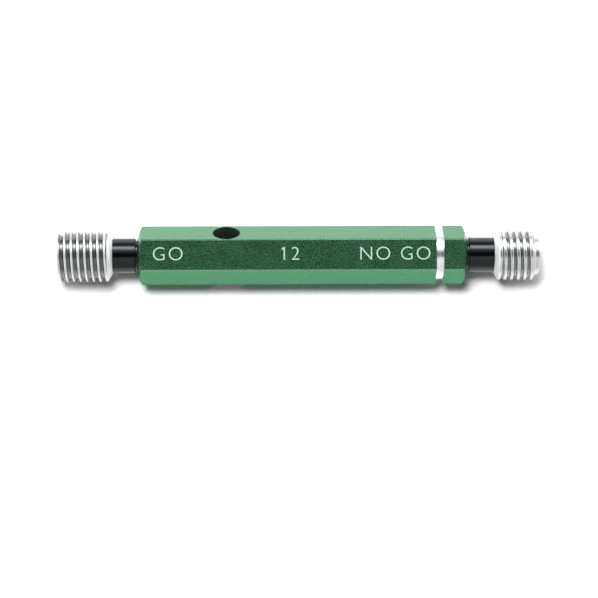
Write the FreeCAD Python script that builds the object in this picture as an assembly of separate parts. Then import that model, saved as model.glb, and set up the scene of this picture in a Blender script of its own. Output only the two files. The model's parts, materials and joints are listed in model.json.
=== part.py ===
# Double-ended thread plug gauge, M12 x 1.5 right-hand, on a hexagonal taper-lock handle.
#
# Three pieces: an aluminium handle, a GO gauge pressed into one end of it and a NOT GO
# gauge pressed into the other. Each gauge is turned and ground from one bar of steel:
# threaded head, plain neck, tapered shank. The shanks hold by their taper alone.
#
# Every piece is drawn standing on the Z axis, then laid along X. In the finished part
# the GO end points along -X, +Z is up, one flat of the hexagon faces down, and the
# origin lies on the supporting surface below the middle of the whole length.

import FreeCAD
import Part
import math
import os

V = FreeCAD.Vector

# ---------------------------------------------------------------- driving dimensions, mm

# Thread
pitch = 1.5
flank_angle = 30.0                   # between a flank and the plane across the axis

# GO gauge: full thread form
go_major_diameter = 12.0
go_depth_per_pitch = 0.6             # depth of thread, crest to root
go_root_diameter = go_major_diameter - 2 * go_depth_per_pitch * pitch
go_crest_flat = 0.19
go_head_length = 12.8
go_lead_chamfer = 1.2                # radial, from the crests in to the flat end face
go_tip_radius = go_major_diameter / 2 - go_lead_chamfer
go_land_step = 0.2                   # radial, plain nose below the root of the thread
go_land_diameter = go_root_diameter - 2 * go_land_step
go_land_length = 0.5
go_thread_start = 0.425              # middle of the ridge's first section, from the tip
go_thread_start_angle = 120.0
go_neck_length = 5.65                # visible between head and handle

# NOT GO gauge: truncated crests, shorter, larger pitch diameter
not_go_major_diameter = 11.52
not_go_depth_per_pitch = 0.44
not_go_root_diameter = not_go_major_diameter - 2 * not_go_depth_per_pitch * pitch
not_go_crest_flat = 0.58
not_go_head_length = 10.25
not_go_lead_chamfer = 1.26
not_go_tip_radius = not_go_major_diameter / 2 - not_go_lead_chamfer
not_go_land_step = 0.425
not_go_land_diameter = not_go_root_diameter - 2 * not_go_land_step
not_go_land_length = 1.2
not_go_collar_length = 0.5           # unthreaded ring at full diameter, next to the neck
not_go_thread_start = 1.39
not_go_thread_start_angle = 225.0
not_go_neck_length = 6.15

# Both gauges
neck_diameter = 8.0
neck_edge_chamfer = 0.2
head_back_angle = 30.0               # cone from the head down to the neck
centre_hole_diameter = 2.4           # 60 degree centre in the tip, for grinding
centre_pilot_diameter = 1.0
centre_pilot_length = 1.6
shank_end_chamfer = 0.4

# Taper lock
taper_per_length = 1.0 / 50.0        # on diameter
socket_mouth_diameter = 7.0
neck_standoff = 0.35                 # neck shoulder clear of the handle, so the taper seats
not_go_shank_engagement = 17.5
socket_runout = 1.0                  # socket carries on past the end of a shank
knock_out_bore_diameter = 4.0

# Handle
handle_length = 75.3
across_flats = 11.7
long_edge_rounding = 0.4
end_face_radius = 4.2
end_chamfer_depth = 1.05             # along the axis, measured at the hexagon's corners
go_end_crown = 0.12                  # the GO end's chamfer bulges this far at its middle

# Drift hole, across the handle through two opposite flats
drift_hole_diameter = 6.0
drift_hole_from_go_end = 20.3
drift_hole_rim = 0.2
drift_reach = 0.2                    # end of the GO shank stands this far into the hole
drift_face_angle = 60.0              # the drilled flat, turned from the flat that faces up

# Turned ring groove that marks the NOT GO end
groove_width = 1.65
groove_from_not_go_end = 5.6
groove_bottom_diameter = 11.2

# ---------------------------------------------------------------- sizes that follow

axis_height = max(go_major_diameter, not_go_major_diameter, across_flats) / 2
overall_length = (go_head_length + go_neck_length + handle_length
                  + not_go_neck_length + not_go_head_length)
go_tip_x = -overall_length / 2
not_go_tip_x = overall_length / 2
handle_go_end_x = go_tip_x + go_head_length + go_neck_length
corner_radius = across_flats / 2 / math.cos(math.radians(30.0))
go_shank_engagement = drift_hole_from_go_end - drift_hole_diameter / 2 + drift_reach

# How far a cutting, trimming or trimmed form runs past the surface that it meets
OVERRUN = 1.0
MARGIN = 0.3
SKIN = 0.05


def tangent(degrees):
    return math.tan(math.radians(degrees))


def turned(points):
    """Solid of revolution about Z, from its outline in (radius, height) points."""
    outline = [V(radius, 0, height) for radius, height in points]
    wire = Part.makePolygon(outline + [outline[0]])
    return Part.Face(wire).revolve(V(0, 0, 0), V(0, 0, 1), 360)


# ---------------------------------------------------------------- gauges

def thread_ridge(major_r, root_r, land_r, crest_flat, start, start_angle, end):
    """Right-hand helical ridge of thread, slightly taller and deeper than the finished form."""
    slope = tangent(flank_angle)
    half_top = crest_flat / 2 - SKIN * slope
    half_base = crest_flat / 2 + (major_r - root_r + SKIN) * slope
    base_r = land_r - MARGIN
    section = [
        V(base_r, 0, -half_base),
        V(root_r - SKIN, 0, -half_base),
        V(major_r + SKIN, 0, -half_top),
        V(major_r + SKIN, 0, half_top),
        V(root_r - SKIN, 0, half_base),
        V(base_r, 0, half_base),
    ]
    profile = Part.makePolygon(section + [section[0]])
    cylindrical = 0.0
    helix = Part.makeLongHelix(pitch, end - start, major_r, cylindrical)
    make_solid = True
    keep_frenet = True
    ridge = Part.Wire(helix.Edges).makePipeShell([profile], make_solid, keep_frenet)
    ridge.rotate(V(0, 0, 0), V(0, 0, 1), start_angle)
    ridge.translate(V(0, 0, start))
    return ridge


def threaded_head(length, major_d, root_d, crest_flat, tip_r, land_d, land_length,
                  collar_length, start, start_angle):
    """Threaded head standing on its tip, with its neck end at z = length."""
    major_r = major_d / 2
    root_r = root_d / 2
    land_r = land_d / 2
    neck_r = neck_diameter / 2
    slope = tangent(flank_angle)
    shoulder = length - (major_r - neck_r) * tangent(head_back_angle)

    # Core: nose, root cylinder and, where there is one, the unthreaded collar
    core = [(0, 0), (land_r, 0), (land_r, land_length)]
    core.append((root_r, land_length + root_r - land_r))
    ridge_end = length + OVERRUN
    if collar_length > 0:
        collar_start = shoulder - collar_length
        core.append((root_r, collar_start - (major_r - root_r) * slope))
        core.append((major_r + MARGIN, collar_start + MARGIN * slope))
        core.append((major_r + MARGIN, length + OVERRUN))
        ridge_end = shoulder
    else:
        core.append((root_r, length + OVERRUN))
    core.append((0, length + OVERRUN))

    # Outer form as ground: lead chamfer, crest cylinder, cone down to the neck
    outer_form = [
        (0, 0),
        (tip_r, 0),
        (major_r, (major_r - tip_r) * slope),
        (major_r, shoulder),
        (neck_r, length),
        (0, length),
    ]
    ridge = thread_ridge(major_r, root_r, land_r, crest_flat, start, start_angle, ridge_end)
    return turned(core).fuse(ridge).common(turned(outer_form)).Solids[0]


def centre_hole():
    """60 degree centre with its pilot, entering a face at z = 0 and going up."""
    mouth_r = centre_hole_diameter / 2
    pilot_r = centre_pilot_diameter / 2
    cone_depth = (mouth_r - pilot_r) / tangent(30.0)
    outline = [
        (0, -OVERRUN),
        (mouth_r + OVERRUN * tangent(30.0), -OVERRUN),
        (pilot_r, cone_depth),
        (pilot_r, cone_depth + centre_pilot_length),
        (0, cone_depth + centre_pilot_length),
    ]
    return turned(outline)


def shank_radius(depth):
    """Radius of the taper, shared by shank and socket, at a depth inside the handle."""
    return (socket_mouth_diameter - taper_per_length * depth) / 2


def taper(start, end):
    """Length of the taper between two depths, as a spline surface: it facets far lighter."""
    return turned([
        (0, start),
        (shank_radius(start), start),
        (shank_radius(end), end),
        (0, end),
    ]).toNurbs()


def gauge(head, head_length, neck_length, engagement):
    """Head, neck and tapered shank in one piece, standing on the tip."""
    neck_r = neck_diameter / 2
    mouth = head_length + neck_length
    neck_end = mouth - neck_standoff
    end = mouth + engagement
    chamfer_start = engagement - shank_end_chamfer
    neck = turned([
        (0, head_length),
        (neck_r, head_length),
        (neck_r, neck_end - neck_edge_chamfer),
        (neck_r - neck_edge_chamfer, neck_end),
        (0, neck_end),
    ])
    shank = taper(-neck_standoff, chamfer_start)
    shank.translate(V(0, 0, mouth))
    shank_end = turned([
        (0, mouth + chamfer_start),
        (shank_radius(chamfer_start), mouth + chamfer_start),
        (shank_radius(chamfer_start) - shank_end_chamfer, end),
        (0, end),
    ])
    return head.fuse([neck, shank, shank_end]).cut(centre_hole()).Solids[0]


def go_gauge():
    no_collar = 0.0
    head = threaded_head(go_head_length, go_major_diameter, go_root_diameter, go_crest_flat,
                         go_tip_radius, go_land_diameter, go_land_length, no_collar,
                         go_thread_start, go_thread_start_angle)
    piece = gauge(head, go_head_length, go_neck_length, go_shank_engagement)
    piece.rotate(V(0, 0, 0), V(0, 1, 0), 90)
    piece.translate(V(go_tip_x, 0, axis_height))
    return piece


def not_go_gauge():
    head = threaded_head(not_go_head_length, not_go_major_diameter, not_go_root_diameter,
                         not_go_crest_flat, not_go_tip_radius, not_go_land_diameter,
                         not_go_land_length, not_go_collar_length, not_go_thread_start,
                         not_go_thread_start_angle)
    piece = gauge(head, not_go_head_length, not_go_neck_length, not_go_shank_engagement)
    piece.rotate(V(0, 0, 0), V(0, 1, 0), -90)
    piece.translate(V(not_go_tip_x, 0, axis_height))
    return piece


# ---------------------------------------------------------------- handle

def hexagonal_bar():
    """Bar with its corners rounded, GO end at z = 0, two flats across X."""
    corners = [V(corner_radius * math.cos(math.radians(60 * k + 30)),
                 corner_radius * math.sin(math.radians(60 * k + 30)), 0) for k in range(6)]
    section = Part.Face(Part.makePolygon(corners + [corners[0]]))
    bar = section.extrude(V(0, 0, handle_length))
    long_edges = [edge for edge in bar.Edges if edge.BoundBox.ZLength > handle_length / 2]
    return bar.makeFillet(long_edge_rounding, long_edges)


def bar_envelope():
    """What the lathe leaves of the bar: a chamfer in two steps at the GO end, a plain one
    at the NOT GO end."""
    middle_r = (end_face_radius + corner_radius) / 2
    middle_z = end_chamfer_depth / 2 - go_end_crown
    outer_r = corner_radius + MARGIN
    return turned([
        (0, 0),
        (end_face_radius, 0),
        (middle_r, middle_z),
        (corner_radius, end_chamfer_depth),
        (outer_r, end_chamfer_depth),
        (outer_r, handle_length - end_chamfer_depth),
        (corner_radius, handle_length - end_chamfer_depth),
        (end_face_radius, handle_length),
        (0, handle_length),
    ])


def ring_groove():
    """Ring that the groove tool removes near the NOT GO end."""
    end_side = handle_length - groove_from_not_go_end
    bottom_r = groove_bottom_diameter / 2
    outer_r = corner_radius + OVERRUN
    return turned([
        (bottom_r, end_side - groove_width),
        (outer_r, end_side - groove_width),
        (outer_r, end_side),
        (bottom_r, end_side),
    ])


def sockets():
    """Both tapered sockets and the bore that joins them, all on the bar's axis."""
    hole_start = drift_hole_from_go_end - drift_hole_diameter / 2 - MARGIN
    hole_end = drift_hole_from_go_end + drift_hole_diameter / 2 + MARGIN
    not_go_depth = not_go_shank_engagement + socket_runout
    bore_r = knock_out_bore_diameter / 2
    go_socket = taper(-OVERRUN, hole_start)
    across_drift_hole = turned([
        (0, hole_start),
        (shank_radius(hole_start), hole_start),
        (shank_radius(hole_end), hole_end),
        (bore_r, hole_end),
        (bore_r, handle_length - not_go_depth),
        (0, handle_length - not_go_depth),
    ])
    not_go_socket = taper(-OVERRUN, not_go_depth)
    not_go_socket.rotate(V(0, 0, 0), V(1, 0, 0), 180)
    not_go_socket.translate(V(0, 0, handle_length))
    return [go_socket, across_drift_hole, not_go_socket]


def drift_hole():
    """Round hole across two flats, its rims broken, centred on the bar's axis."""
    radius = drift_hole_diameter / 2
    half = across_flats / 2
    rim_r = radius + drift_hole_rim + OVERRUN
    return turned([
        (0, -half - OVERRUN),
        (rim_r, -half - OVERRUN),
        (radius, -half + drift_hole_rim),
        (radius, half - drift_hole_rim),
        (rim_r, half + OVERRUN),
        (0, half + OVERRUN),
    ])


def handle():
    hole = drift_hole()
    hole.rotate(V(0, 0, 0), V(0, 1, 0), -90)
    hole.rotate(V(0, 0, 0), V(0, 0, 1), -drift_face_angle)
    hole.translate(V(0, 0, drift_hole_from_go_end))
    piece = hexagonal_bar().common(bar_envelope())
    for removed in sockets() + [ring_groove(), hole]:
        piece = piece.cut(removed)
    piece = piece.Solids[0]
    piece.rotate(V(0, 0, 0), V(0, 1, 0), 90)
    piece.translate(V(handle_go_end_x, 0, axis_height))
    return piece


pieces = {
    "handle": handle(),
    "go_gauge": go_gauge(),
    "not_go_gauge": not_go_gauge(),
}

os.makedirs("parts", exist_ok=True)
for node, shape in pieces.items():
    shape.exportStep(f"parts/{node}.step")
    print(node, shape.isValid(), f"{shape.Volume:.2f} mm3", f"{len(shape.Faces)} faces")
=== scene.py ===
"""Looks of the double-ended thread plug gauge: materials, lettering, light and camera."""

import json
import math

import bmesh
import bpy
from mathutils import Matrix, Vector

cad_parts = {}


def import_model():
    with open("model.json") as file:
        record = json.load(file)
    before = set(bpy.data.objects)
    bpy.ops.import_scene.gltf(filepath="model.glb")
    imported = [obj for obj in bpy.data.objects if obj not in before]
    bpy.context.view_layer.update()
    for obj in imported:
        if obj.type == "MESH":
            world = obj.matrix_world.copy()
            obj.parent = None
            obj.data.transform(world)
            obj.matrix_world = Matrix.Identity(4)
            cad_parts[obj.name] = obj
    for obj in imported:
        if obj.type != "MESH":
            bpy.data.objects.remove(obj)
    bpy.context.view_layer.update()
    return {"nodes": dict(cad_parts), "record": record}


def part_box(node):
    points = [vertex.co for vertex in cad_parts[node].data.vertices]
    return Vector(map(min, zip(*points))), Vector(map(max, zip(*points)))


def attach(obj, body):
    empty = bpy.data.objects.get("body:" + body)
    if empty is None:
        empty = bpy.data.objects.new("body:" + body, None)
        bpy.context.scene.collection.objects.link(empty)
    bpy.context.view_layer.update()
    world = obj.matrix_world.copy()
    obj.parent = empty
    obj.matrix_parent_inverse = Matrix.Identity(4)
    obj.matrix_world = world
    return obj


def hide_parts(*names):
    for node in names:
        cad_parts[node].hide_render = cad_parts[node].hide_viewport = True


MM = 0.001

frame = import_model()

handle = frame["nodes"]["handle"]

# ---------------------------------------------------------------- places, from the frame

handle_low, handle_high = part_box("handle")
go_tip_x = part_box("go_gauge")[0].x
not_go_tip_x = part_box("not_go_gauge")[1].x

axis_z = (handle_low.z + handle_high.z) / 2
across_flats = handle_high.z - handle_low.z
mounts = {mount["name"]: mount for mount in frame["record"]["mounts"]}
drift_hole = mounts["drift_hole"]

# ---------------------------------------------------------------- sizes

# Handle, as in the part's source
GROOVE_WIDTH = 1.65 * MM
GROOVE_TO_END = 5.6 * MM
EDGE_ROUNDING = 0.4 * MM
HALF_FLAT_ANGLE = math.radians(30)   # that half a flat of the hexagon takes up
groove_high_x = handle_high.x - GROOVE_TO_END
groove_low_x = groove_high_x - GROOVE_WIDTH

# Both gauges, as in the part's source
PITCH = 1.5 * MM
FLANK_ANGLE = math.radians(30)
NECK_RADIUS = 4.0 * MM
NECK_CHAMFER = 0.2 * MM
NECK_STANDOFF = 0.35 * MM
SHANK_MOUTH_RADIUS = 3.5 * MM
SHANK_TAPER = 1 / 100                # on radius
SHANK_END_CHAMFER = 0.4 * MM
CENTRE_RADIUS = 1.2 * MM
PILOT_RADIUS = 0.5 * MM
PILOT_LENGTH = 1.6 * MM

# Each gauge from its tip. The roots are 0.05 to 0.1 mm deeper than in the part's source
# and the GO crest is wider; "rounded" leaves the crest without rows of its own.
GO = dict(
    major=6.0 * MM, root=5.0 * MM, crest=0.32 * MM, head=12.8 * MM, tip=4.8 * MM,
    land=4.9 * MM, land_length=0.5 * MM, collar=0.0, start=0.425 * MM, rounded=True,
    start_angle=math.radians(120), neck=5.65 * MM)
NOT_GO = dict(
    major=5.76 * MM, root=5.05 * MM, crest=0.58 * MM, head=10.25 * MM, tip=4.5 * MM,
    land=4.675 * MM, land_length=1.2 * MM, collar=0.5 * MM, start=1.39 * MM,
    rounded=False, start_angle=math.radians(225), neck=6.15 * MM)


# ---------------------------------------------------------------- node helpers

NOISE_RANGE = (0.3, 0.7)             # most of a noise lies between these


class Nodes:
    """Short way to add and join the shader nodes of a material or a world."""

    def __init__(self, owner, output="ShaderNodeOutputMaterial", place="Object"):
        owner.use_nodes = True
        self.tree = owner.node_tree
        self.tree.nodes.clear()
        self.output = self.add(output)
        self.place = self.add("ShaderNodeTexCoord").outputs[place]

    def add(self, kind, **settings):
        node = self.tree.nodes.new(kind)
        for name, value in settings.items():
            setattr(node, name, value)
        return node

    def join(self, source, target):
        if hasattr(source, "is_output"):
            self.tree.links.new(source, target)
        else:
            target.default_value = source

    def finish(self, shader):
        self.join(shader, self.output.inputs["Surface"])

    def math(self, operation, a, b=0.0):
        node = self.add("ShaderNodeMath", operation=operation)
        self.join(a, node.inputs[0])
        self.join(b, node.inputs[1])
        return node.outputs[0]

    def vector(self, operation, a, b=(0, 0, 0)):
        node = self.add("ShaderNodeVectorMath", operation=operation)
        self.join(a, node.inputs[0])
        self.join(b, node.inputs[1])
        gives_number = operation in ("DOT_PRODUCT", "LENGTH")
        return node.outputs["Value" if gives_number else "Vector"]

    def along(self, axis):
        split = self.add("ShaderNodeSeparateXYZ")
        self.join(self.place, split.inputs[0])
        return split.outputs[axis]

    def stretch(self, x, y, z):
        node = self.add("ShaderNodeMapping")
        self.join(self.place, node.inputs["Vector"])
        node.inputs["Scale"].default_value = (x, y, z)
        return node.outputs["Vector"]

    def noise(self, scale, detail=2.0, vector=None, rough=0.5):
        node = self.add("ShaderNodeTexNoise")
        node.inputs["Scale"].default_value = scale
        node.inputs["Detail"].default_value = detail
        node.inputs["Roughness"].default_value = rough
        self.join(self.place if vector is None else vector, node.inputs["Vector"])
        return node.outputs["Fac"]

    def spread(self, value, low, high, out_low, out_high, **settings):
        node = self.add("ShaderNodeMapRange", **settings)
        self.join(value, node.inputs["Value"])
        for socket, number in zip(("From Min", "From Max", "To Min", "To Max"),
                                  (low, high, out_low, out_high)):
            node.inputs[socket].default_value = number
        return node.outputs["Result"]

    def vary(self, noise, low, high):
        """Number that follows a noise from low to high."""
        return self.spread(noise, *NOISE_RANGE, low, high)

    def rise(self, value, low, high):
        """0 up to low, 1 from high on."""
        return self.spread(value, low, high, 0.0, 1.0)

    def fall(self, value, low, high):
        """1 up to low, 0 from high on."""
        return self.spread(value, low, high, 1.0, 0.0)

    def between(self, axis, low, high, soft):
        """1 between two places along an axis, 0 outside, with soft edges."""
        value = self.along(axis)
        return self.math("MULTIPLY", self.rise(value, low - soft, low + soft),
                         self.fall(value, high - soft, high + soft))

    def blend(self, share, low, high):
        node = self.add("ShaderNodeMix", data_type="RGBA")
        self.join(share, node.inputs["Factor"])
        self.join(low, node.inputs["A"])
        self.join(high, node.inputs["B"])
        return node.outputs["Result"]

    def bump(self, height, distance):
        node = self.add("ShaderNodeBump")
        node.inputs["Distance"].default_value = distance
        self.join(height, node.inputs["Height"])
        return node.outputs["Normal"]

    def surface(self, **sockets):
        shader = self.add("ShaderNodeBsdfPrincipled")
        for name, value in sockets.items():
            self.join(value, shader.inputs[name.replace("_", " ")])
        return shader.outputs[0]

    def either(self, share, low, high):
        node = self.add("ShaderNodeMixShader")
        for source, socket in zip((share, low, high), node.inputs):
            self.join(source, socket)
        return node.outputs[0]


def material(name):
    made = bpy.data.materials.new(name)
    return made, Nodes(made)


def dress(piece, made):
    piece.data.materials.clear()
    piece.data.materials.append(made)


def from_axis(n):
    """Distance from the axis of the whole gauge."""
    up = n.math("SUBTRACT", n.along("Z"), axis_z)
    return n.math("SQRT", n.math("ADD", n.math("POWER", up, 2.0),
                                 n.math("POWER", n.along("Y"), 2.0)))


# ---------------------------------------------------------------- handle

TURNING_HEIGHT = 0.002 * MM          # of the rings and turning marks, on steel too

# Scales of the noises, to the metre
SATIN_GRAIN = 3300
SATIN_GRAIN_ROUGHNESS = 0.6
SATIN_PATCHES = 260
GROOVE_RINGS = (16000, 60, 60)

GREEN_LOW = (0.066, 0.222, 0.114, 1)
GREEN_HIGH = (0.083, 0.256, 0.136, 1)
GREEN_COLOUR_RANGE = (0.35, 0.65)    # of the grain
# Painted shade on the rounded long edges: darker than the flats, in place of their glint
EDGE_SHADE_GREEN = (0.030, 0.100, 0.052, 1)
GREEN_ROUGHNESS = (0.23, 0.37)
GREEN_ROUGHNESS_RANGE = (0.38, 0.62)     # of the grain
PATCH_ROUGHNESS = 0.02
GRAIN_HEIGHT = 0.04 * MM
EDGE_MASK = (-0.01 * MM, 0.02 * MM)  # past the end of a flat

COAT_FROM_Y = (-4 * MM, -3 * MM)     # the two front flats have no gloss
COAT_WEIGHT = 0.75
COAT_ROUGHNESS = 0.2
COAT_IOR = 1.5
GREEN_TINT = (0.6, 0.6, 0.6, 1)

BARE_COLOUR = (0.86, 0.87, 0.88, 1)
BARE_ROUGHNESS = (0.22, 0.34)
GROOVE_MASK_SOFTNESS = 0.01 * MM

# Painted shade inside the drift hole and on its rim: a dark matt colour
HOLE_SHADE_COLOUR = (0.004, 0.008, 0.005, 1)
HOLE_SHADE_ROUGHNESS = (0.5, 0.7)
HOLE_SHADE_REACH = (0.10 * MM, 0.14 * MM)     # takes in the broken rim


def on_rounded_edges(n):
    """Mask of the painted edge shade: 1 on the rounded long edges of the hexagon, by
    distance from the handle's axis.
    """
    apothem = across_flats / 2
    half_flat = (apothem - EDGE_ROUNDING) * math.tan(HALF_FLAT_ANGLE)
    flat_end = math.hypot(apothem, half_flat)
    return n.rise(from_axis(n), *(flat_end + past for past in EDGE_MASK))


def in_drift_hole(n):
    """Mask of the painted shade in the hole: 1 inside the cross hole and on its rim, by
    distance from the hole's axis.
    """
    offset = n.vector("SUBTRACT", n.place, Vector(drift_hole["pos_m"]))
    depth = n.vector("DOT_PRODUCT", offset, Vector(drift_hole["axis"]))
    square = n.math("SUBTRACT", n.math("POWER", n.vector("LENGTH", offset), 2.0),
                    n.math("POWER", n.math("ABSOLUTE", depth), 2.0))
    away = n.math("SQRT", n.math("MAXIMUM", square, 0.0))
    radius = drift_hole["dims"]["r_mm"] * MM
    return n.fall(away, *(radius + past for past in HOLE_SHADE_REACH))


def satin_green(n, grain):
    """Anodised skin with painted shade on the long edges, glossier away from the front.
    """
    patches = n.noise(SATIN_PATCHES)
    flat_colour = n.blend(n.rise(grain, *GREEN_COLOUR_RANGE), GREEN_LOW, GREEN_HIGH)
    return n.surface(
        # painted shade on the rounded long edges
        Base_Color=n.blend(on_rounded_edges(n), flat_colour, EDGE_SHADE_GREEN),
        Metallic=1.0,
        Roughness=n.math(
            "ADD", n.spread(grain, *GREEN_ROUGHNESS_RANGE, *GREEN_ROUGHNESS),
            n.vary(patches, -PATCH_ROUGHNESS, PATCH_ROUGHNESS)),
        Normal=n.bump(grain, GRAIN_HEIGHT),
        Coat_Weight=n.spread(n.along("Y"), *COAT_FROM_Y, 0.0, COAT_WEIGHT),
        Coat_Roughness=COAT_ROUGHNESS,
        Coat_IOR=COAT_IOR,
        Specular_Tint=GREEN_TINT)


def bare_groove(n):
    """Freshly turned aluminium with fine rings round the axis."""
    rings = n.noise(1.0, vector=n.stretch(*GROOVE_RINGS))
    return n.surface(Base_Color=BARE_COLOUR, Metallic=1.0,
                     Roughness=n.vary(rings, *BARE_ROUGHNESS),
                     Normal=n.bump(rings, TURNING_HEIGHT))


def anodised_handle():
    """Green satin aluminium, bare in the turned groove, with painted shade in the drift
    hole.
    """
    made, n = material("anodised_green")
    grain = n.noise(SATIN_GRAIN, rough=SATIN_GRAIN_ROUGHNESS)
    in_groove = n.between("X", groove_low_x, groove_high_x, GROOVE_MASK_SOFTNESS)
    outside = n.either(in_groove, satin_green(n, grain), bare_groove(n))
    # painted shade in the drift hole
    hole_shade = n.surface(Base_Color=HOLE_SHADE_COLOUR, Metallic=0.0,
                        Roughness=n.vary(grain, *HOLE_SHADE_ROUGHNESS))
    n.finish(n.either(in_drift_hole(n), outside, hole_shade))
    return made


dress(handle, anodised_handle())


# ---------------------------------------------------------------- steel of the gauges

TURNING_MARKS = (9000, 500, 500)
STEEL_SPECKLE = 5200
STEEL_MASK_SOFTNESS = 0.02 * MM
CREST_MASK = (-0.06 * MM, -0.02 * MM)    # past the radius of the crests

POLISHED_LOW = (0.315, 0.335, 0.322, 1)
POLISHED_HIGH = (0.435, 0.455, 0.442, 1)
GROUND_LOW = (0.56, 0.57, 0.56, 1)
GROUND_HIGH = (0.66, 0.67, 0.66, 1)
BACK_COLOUR = (0.74, 0.75, 0.74, 1)
POLISHED_ROUGHNESS = (0.15, 0.22)
GROUND_EXTRA_ROUGHNESS = 0.09
BACK_EXTRA_ROUGHNESS = 0.35

BLACK_LOW = (0.0004, 0.0004, 0.0006, 1)
BLACK_HIGH = (0.0012, 0.0012, 0.0016, 1)
BLACK_ROUGHNESS = (0.05, 0.09)
BLACK_SPECULAR = 0.40
BLACK_TINT = (0.86, 0.97, 1.0, 1)


def shoulder_at(g):
    """Distance from the tip to the cone that leads from the thread to the neck."""
    return g["head"] - (g["major"] - NECK_RADIUS) * math.tan(FLANK_ANGLE)


def bright_steel(n, g, from_tip, turning, speckle):
    """Polished flanks; nose, crests and the cone at the back are ground."""
    soft = STEEL_MASK_SOFTNESS
    on_crest = n.rise(from_axis(n), *(g["major"] + past for past in CREST_MASK))
    on_nose = n.fall(from_tip, g["land_length"], g["land_length"] + soft)
    on_back = n.rise(from_tip, shoulder_at(g) - soft, shoulder_at(g))
    ground = n.math("MAXIMUM", n.math("MAXIMUM", on_crest, on_nose), on_back)
    polished_colour = n.blend(speckle, POLISHED_LOW, POLISHED_HIGH)
    ground_colour = n.blend(on_back, n.blend(speckle, GROUND_LOW, GROUND_HIGH),
                            BACK_COLOUR)
    extra = n.math("ADD", n.math("MULTIPLY", ground, GROUND_EXTRA_ROUGHNESS),
                   n.math("MULTIPLY", on_back, BACK_EXTRA_ROUGHNESS))
    return n.surface(
        Base_Color=n.blend(ground, polished_colour, ground_colour),
        Metallic=1.0,
        Roughness=n.math("ADD", n.vary(turning, *POLISHED_ROUGHNESS), extra),
        Normal=n.bump(turning, TURNING_HEIGHT))


def black_steel(n, turning, speckle):
    """Black oxide with a wet gloss."""
    return n.surface(
        Base_Color=n.blend(speckle, BLACK_LOW, BLACK_HIGH),
        Metallic=0.0,
        Roughness=n.vary(turning, *BLACK_ROUGHNESS),
        Specular_IOR_Level=BLACK_SPECULAR,
        Specular_Tint=BLACK_TINT,
        Normal=n.bump(turning, TURNING_HEIGHT))


def gauge_steel(name, g, tip_x, heading):
    """Hardened steel: bright on the threaded head, black on the neck and the shank."""
    made, n = material(name)
    turning = n.noise(1.0, vector=n.stretch(*TURNING_MARKS))
    speckle = n.noise(STEEL_SPECKLE)
    from_tip = n.math("MULTIPLY", n.math("SUBTRACT", n.along("X"), tip_x), heading)
    on_neck = n.rise(from_tip, g["head"] - STEEL_MASK_SOFTNESS, g["head"])
    n.finish(n.either(on_neck, bright_steel(n, g, from_tip, turning, speckle),
                      black_steel(n, turning, speckle)))
    return made


# ---------------------------------------------------------------- form of the gauges

COLUMNS = 160                        # round the axis
ROWS_A_TURN = 14                     # along one pitch of thread, besides its corners
TURNS_BEFORE_TIP = 2                 # grid turns that start ahead of the tip
MERGE_DISTANCE = 0.0005 * MM
SHARP_FROM = math.radians(24)
ROOT_TOLERANCE = 0.001 * MM


def piecewise(points, z):
    """Radius at a height, on an outline of (radius, height) points that goes up."""
    for (r0, z0), (r1, z1) in zip(points, points[1:]):
        if z <= z1:
            return r0 + (r1 - r0) * (z - z0) / (z1 - z0)
    return points[-1][0]


def head_outlines(g):
    """Core under the thread and outer form round it, as (radius, height) points."""
    slope = math.tan(FLANK_ANGLE)
    shoulder = shoulder_at(g)
    core = [(g["land"], 0), (g["land"], g["land_length"]),
            (g["root"], g["land_length"] + g["root"] - g["land"])]
    if g["collar"]:
        collar_start = shoulder - g["collar"]
        core += [(g["root"], collar_start - (g["major"] - g["root"]) * slope),
                 (g["major"], collar_start)]
    core.append((core[-1][0], g["head"]))
    outer = [(g["tip"], 0), (g["major"], (g["major"] - g["tip"]) * slope),
             (g["major"], shoulder), (NECK_RADIUS, g["head"])]
    return core, outer


def head_radius(g, core, outer, turn, z):
    """Radius of the head at a height and a share of a turn past the thread's start."""
    nearest = max(0, round((z - g["start"]) / PITCH - turn))
    away = abs(z - g["start"] - PITCH * (nearest + turn))
    ridge = g["major"] - max(0.0, away - g["crest"] / 2) / math.tan(FLANK_ANGLE)
    return min(max(ridge, piecewise(core, z)), piecewise(outer, z))


def thread_heights(g):
    """Heights of the grid's rows where the thread starts, each turn with its corners."""
    half_crest = g["crest"] / 2
    half_base = half_crest + (g["major"] - g["root"]) * math.tan(FLANK_ANGLE)
    rows = {PITCH * (k / ROWS_A_TURN - 0.5) for k in range(ROWS_A_TURN)}
    if g["rounded"]:
        rows = {row for row in rows if abs(row) > half_crest}
    in_turn = sorted({-half_base, -half_crest, half_crest, half_base} | rows)
    turns = range(-TURNS_BEFORE_TIP, math.ceil(g["head"] / PITCH) + 1)
    return [g["start"] + PITCH * k + s for k in turns for s in in_turn]


def centre_outline():
    """Pilot and 60 degree centre in the tip, from the axis outward."""
    cone_depth = (CENTRE_RADIUS - PILOT_RADIUS) / math.tan(FLANK_ANGLE)
    return [(0, cone_depth + PILOT_LENGTH), (PILOT_RADIUS, cone_depth + PILOT_LENGTH),
            (PILOT_RADIUS, cone_depth), (CENTRE_RADIUS, 0)]


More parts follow.
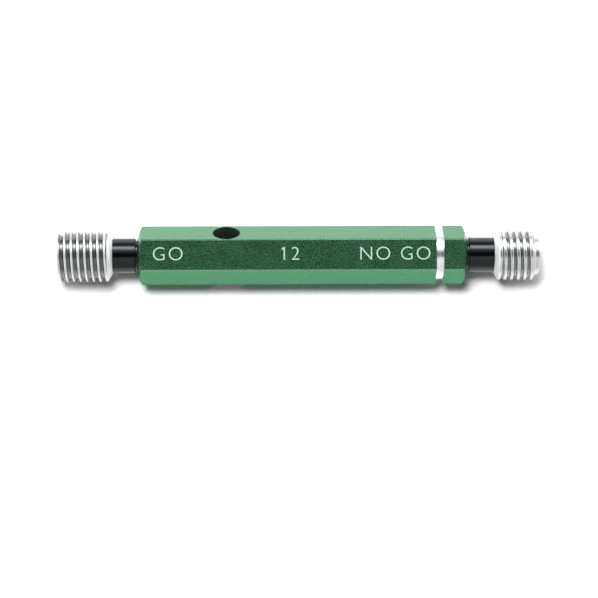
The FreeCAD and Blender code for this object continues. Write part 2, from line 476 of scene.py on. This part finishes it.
def shank_outline(g, end_depth):
    """Neck and taper shank behind the head, down to the axis."""
    mouth = g["head"] + g["neck"]
    neck_end = mouth - NECK_STANDOFF
    shank_end = mouth + end_depth
    chamfer_depth = end_depth - SHANK_END_CHAMFER
    return [
        (NECK_RADIUS, neck_end - NECK_CHAMFER),
        (NECK_RADIUS - NECK_CHAMFER, neck_end),
        (SHANK_MOUTH_RADIUS + SHANK_TAPER * NECK_STANDOFF, neck_end),
        (SHANK_MOUTH_RADIUS - SHANK_TAPER * chamfer_depth, mouth + chamfer_depth),
        (SHANK_MOUTH_RADIUS - SHANK_TAPER * end_depth - SHANK_END_CHAMFER, shank_end),
        (0, shank_end),
    ]


def gauge_columns(build, g, end_depth):
    """Vertices of the grid: one column of the whole outline for each step of the turn."""
    core, outer = head_outlines(g)
    heights = thread_heights(g)
    before, behind = centre_outline(), shank_outline(g, end_depth)
    columns = []
    for i in range(COLUMNS + 1):
        turn = i / COLUMNS
        angle = g["start_angle"] + 2 * math.pi * turn
        climbed = [min(max(z + PITCH * turn, 0.0), g["head"]) for z in heights]
        head = [(head_radius(g, core, outer, turn, z), z) for z in climbed]
        columns.append([build.verts.new((r * math.cos(angle), r * math.sin(angle), z))
                        for r, z in before + head + behind])
    return columns


def gauge_mesh(name, g, end_depth):
    """Whole gauge standing on its tip: a head on a helical grid, then neck and shank."""
    build = bmesh.new()
    columns = gauge_columns(build, g, end_depth)
    for left, right in zip(columns, columns[1:]):
        for k in range(len(left) - 1):
            build.faces.new((left[k], right[k], right[k + 1], left[k + 1]))
    bmesh.ops.remove_doubles(build, verts=build.verts, dist=MERGE_DISTANCE)
    bmesh.ops.recalc_face_normals(build, faces=build.faces)
    mesh = bpy.data.meshes.new(name)
    build.to_mesh(mesh)
    build.free()
    mesh.shade_smooth()
    mesh.set_sharp_from_angle(angle=SHARP_FROM)
    soften_thread(mesh, g["root"])
    return mesh


def soften_thread(mesh, root):
    """Crests and roots shade as slightly rounded, all other edges stay sharp."""
    for edge in mesh.edges:
        ends = [mesh.vertices[k].co for k in edge.vertices]
        if min(math.hypot(co.x, co.y) for co in ends) > root - ROOT_TOLERANCE:
            edge.use_edge_sharp = False


def gauge_piece(name, node, g, tip_x, heading):
    """Gauge laid along X for its plainer CAD mesh; heading is 1 where X runs inward."""
    low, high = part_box(node)
    end_depth = (high.x - low.x) - g["head"] - g["neck"]
    mesh = gauge_mesh(name, g, end_depth)
    laid = Matrix.Rotation(heading * math.radians(90), 4, "Y")
    mesh.transform(Matrix.Translation((tip_x, 0, axis_z)) @ laid)
    mesh.materials.append(gauge_steel(name + "_steel", g, tip_x, heading))
    piece = bpy.data.objects.new(name, mesh)
    bpy.context.scene.collection.objects.link(piece)
    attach(piece, "root")
    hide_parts(node)


gauge_piece("go_member", "go_gauge", GO, go_tip_x, 1)
gauge_piece("not_go_member", "not_go_gauge", NOT_GO, not_go_tip_x, -1)


# ---------------------------------------------------------------- lettering

LETTER_HEIGHT = 3.05 * MM
LETTER_LIFT = 0.012 * MM
LETTER_THINNING = 0.06 * MM
LETTER_SPACING = 1.15
LETTER_CURVE_STEPS = 6
FONT_CAP_SHARE = 0.69                # height of a capital in the built-in font's own size
FLAG_REACH = 0.4 * MM
FLAG_DROP = 0.36 * MM
FLAG_WIDTH = 1.3                     # in widths of the figure's upright
GO_MARK_X = -33.2 * MM
SIZE_MARK_X = -1.95 * MM
NOT_GO_MARK_X = 30.2 * MM

FILL_SPECKLE = 6000
FILL_LOW = (0.26, 0.41, 0.32, 1)
FILL_HIGH = (0.34, 0.49, 0.40, 1)
FILL_ROUGHNESS = (0.5, 0.7)


def marking_fill():
    """Pale green matt fill of the lettering."""
    made, n = material("marking_fill")
    speckle = n.noise(FILL_SPECKLE)
    n.finish(n.surface(Base_Color=n.blend(speckle, FILL_LOW, FILL_HIGH),
                       Roughness=n.vary(speckle, *FILL_ROUGHNESS)))
    return made


def text_mesh(name, words, side):
    """Flat mesh of a line of text in the built-in font."""
    curve = bpy.data.curves.new(name + "_curve", "FONT")
    curve.body = words
    curve.size = LETTER_HEIGHT / FONT_CAP_SHARE
    curve.space_character = LETTER_SPACING
    curve.offset = -LETTER_THINNING
    curve.align_x = side
    curve.align_y = "CENTER"
    curve.resolution_u = LETTER_CURVE_STEPS
    text = bpy.data.objects.new(name + "_text", curve)
    bpy.context.scene.collection.objects.link(text)
    bpy.context.view_layer.update()
    mesh = bpy.data.meshes.new_from_object(text)
    bpy.data.objects.remove(text)
    return mesh


def lettering(name, words, side, x, made):
    """Words lying on the upper flat of the handle."""
    piece = bpy.data.objects.new(name, text_mesh(name, words, side))
    bpy.context.scene.collection.objects.link(piece)
    piece.location = (x, 0, handle_high.z + LETTER_LIFT)
    dress(piece, made)
    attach(piece, "root")
    return piece


def flag_the_one(piece):
    """Slanting stroke at the head of the figure 1, which the font leaves plain."""
    points = [vertex.co for vertex in piece.data.vertices]
    left = min(point.x for point in points)
    top = max(point.y for point in points)
    upright = max(point.x for point in points if point.x < left + FLAG_REACH) - left
    reach = Vector((-FLAG_REACH, -FLAG_DROP, 0))
    high = Vector((left, top, 0))
    low = high - Vector((0, upright * FLAG_WIDTH, 0))
    build = bmesh.new()
    build.from_mesh(piece.data)
    build.faces.new([build.verts.new(place) for place in
                     (high, high + reach, low + reach, low)])
    build.to_mesh(piece.data)
    build.free()


fill = marking_fill()
lettering("mark_go", "GO", "LEFT", GO_MARK_X, fill)
flag_the_one(lettering("mark_size", "12", "CENTER", SIZE_MARK_X, fill))
lettering("mark_not_go", "NO GO", "RIGHT", NOT_GO_MARK_X, fill)


# ---------------------------------------------------------------- floor

FLOOR_HALF = 0.6
PAPER_FIBRE = 900
PAPER_FIBRE_DETAIL = 3.0
PAPER_LOW = (0.92, 0.92, 0.92, 1)
PAPER_HIGH = (0.95, 0.95, 0.95, 1)
PAPER_ROUGHNESS = 0.9


def paper():
    """Plain white paper."""
    made, n = material("paper_floor")
    fibre = n.noise(PAPER_FIBRE, PAPER_FIBRE_DETAIL)
    n.finish(n.surface(Base_Color=n.blend(fibre, PAPER_LOW, PAPER_HIGH),
                       Roughness=PAPER_ROUGHNESS))
    return made


def floor():
    """Pale floor under the gauge, far wider than the view."""
    half = FLOOR_HALF
    mesh = bpy.data.meshes.new("floor")
    mesh.from_pydata([(-half, -half, 0), (half, -half, 0), (half, half, 0),
                      (-half, half, 0)], [], [(0, 1, 2, 3)])
    piece = bpy.data.objects.new("floor", mesh)
    bpy.context.scene.collection.objects.link(piece)
    mesh.materials.append(paper())


# ---------------------------------------------------------------- light

# Brightness of the sky by its lean from overhead, in degrees: the front is below 0
SKY = [(-90, 0.8), (-65, 0.8), (-40, 0.9), (-22, 1.05), (-16, 0.9), (-11, 0.12),
       (-8, 0.02), (6, 0.02), (12, 0.15), (18, 0.4), (24, 0.7), (30, 1.2), (36, 2.4),
       (42, 5.5), (47, 8.5), (52, 9.5), (57, 6.5), (62, 2.5), (67, 0.8), (74, 0.45),
       (82, 0.45), (90, 0.5)]
SKY_LOW, SKY_HIGH = -90, 90          # degrees
SKY_PEAK = 10.0
SKY_ENDS = 1.9                       # least brightness towards both ends of the gauge
SKY_ENDS_START = math.radians(12)
SKY_ENDS_FULL = math.radians(55)
SKY_WHOLE = (1, 1, 1, 1)
SKY_ON_MATT = (0.024, 0.019, 0.018, 1)   # share of the sky that lights what is matt

# Overhead box, in metres and watts
BOX_PLACE = (-0.105, 0.18, 0.6)
BOX_TARGET = (0, 0, 0)
BOX_WIDTH = 0.2
BOX_HEIGHT = 0.19
BOX_POWER = 5.2


def sky_by_lean(n):
    """Share of the sky's peak, by its lean to the front or to the back."""
    lean = n.math("ARCTAN2", n.along("Y"), n.along("Z"))
    ramp = n.add("ShaderNodeValToRGB")
    n.join(n.rise(lean, math.radians(SKY_LOW), math.radians(SKY_HIGH)),
           ramp.inputs["Fac"])
    stops = ramp.color_ramp.elements
    while len(stops) > 1:
        stops.remove(stops[0])
    for place, (degrees, level) in enumerate(SKY):
        position = (degrees - SKY_LOW) / (SKY_HIGH - SKY_LOW)
        stop = stops.new(position) if place else stops[0]
        stop.position = position
        share = level / SKY_PEAK
        stop.color = (share, share, share, 1)
    return ramp.outputs["Color"]


def world():
    """Bright studio all round, but for the dark strip of sky over the gauge."""
    made = bpy.data.worlds.new("studio")
    bpy.context.scene.world = made
    n = Nodes(made, "ShaderNodeOutputWorld", "Generated")
    ends = n.spread(n.math("ABSOLUTE", n.along("X")),
                    math.sin(SKY_ENDS_START), math.sin(SKY_ENDS_FULL),
                    0.0, SKY_ENDS / SKY_PEAK, interpolation_type="SMOOTHSTEP")
    sky = n.vector("MAXIMUM", sky_by_lean(n), ends)
    on_matt = n.add("ShaderNodeLightPath").outputs["Is Diffuse Ray"]
    share = n.blend(on_matt, SKY_WHOLE, SKY_ON_MATT)
    background = n.add("ShaderNodeBackground")
    n.join(n.vector("MULTIPLY", sky, share), background.inputs["Color"])
    background.inputs["Strength"].default_value = SKY_PEAK
    n.finish(background.outputs[0])


def softbox():
    """Large soft light above and behind; it leaves no reflection."""
    data = bpy.data.lights.new("overhead_box", "AREA")
    data.shape = "RECTANGLE"
    data.size = BOX_WIDTH
    data.size_y = BOX_HEIGHT
    data.energy = BOX_POWER
    lamp = bpy.data.objects.new("overhead_box", data)
    bpy.context.scene.collection.objects.link(lamp)
    lamp.location = BOX_PLACE
    lamp.visible_glossy = False
    lamp.rotation_mode = "QUATERNION"
    sight = Vector(BOX_TARGET) - Vector(BOX_PLACE)
    lamp.rotation_quaternion = sight.to_track_quat("-Z", "Y")


# ---------------------------------------------------------------- camera

CAMERA_EYE = Vector((-11.7 * MM, -17.2 * MM, axis_z + 490 * MM))
CAMERA_AIM = Vector((0.225 * MM, -10.06 * MM, axis_z))
CAMERA_ROLL = math.radians(-0.22)
VIEW_WIDTH = 137.0 * MM              # at the height of the axis
SENSOR_WIDTH = 36                    # in millimetres, as cameras have it
NEAR_CLIP = 0.01
FAR_CLIP = 10


def camera():
    """Looks down on the gauge from a little to the GO side and in front."""
    data = bpy.data.cameras.new("camera")
    eye = bpy.data.objects.new("camera", data)
    bpy.context.scene.collection.objects.link(eye)
    eye.location = CAMERA_EYE
    sight = CAMERA_AIM - CAMERA_EYE
    data.sensor_width = SENSOR_WIDTH
    data.lens = SENSOR_WIDTH * sight.length / VIEW_WIDTH
    data.clip_start = NEAR_CLIP
    data.clip_end = FAR_CLIP
    back = -sight.normalized()
    up = Vector((-math.sin(CAMERA_ROLL), math.cos(CAMERA_ROLL), 0))
    right = up.cross(back).normalized()
    up = back.cross(right)
    eye.rotation_mode = "QUATERNION"
    eye.rotation_quaternion = Matrix((right, up, back)).transposed().to_quaternion()
    bpy.context.scene.camera = eye


floor()
world()
softbox()
camera()
bpy.context.scene.view_settings.view_transform = "Standard"
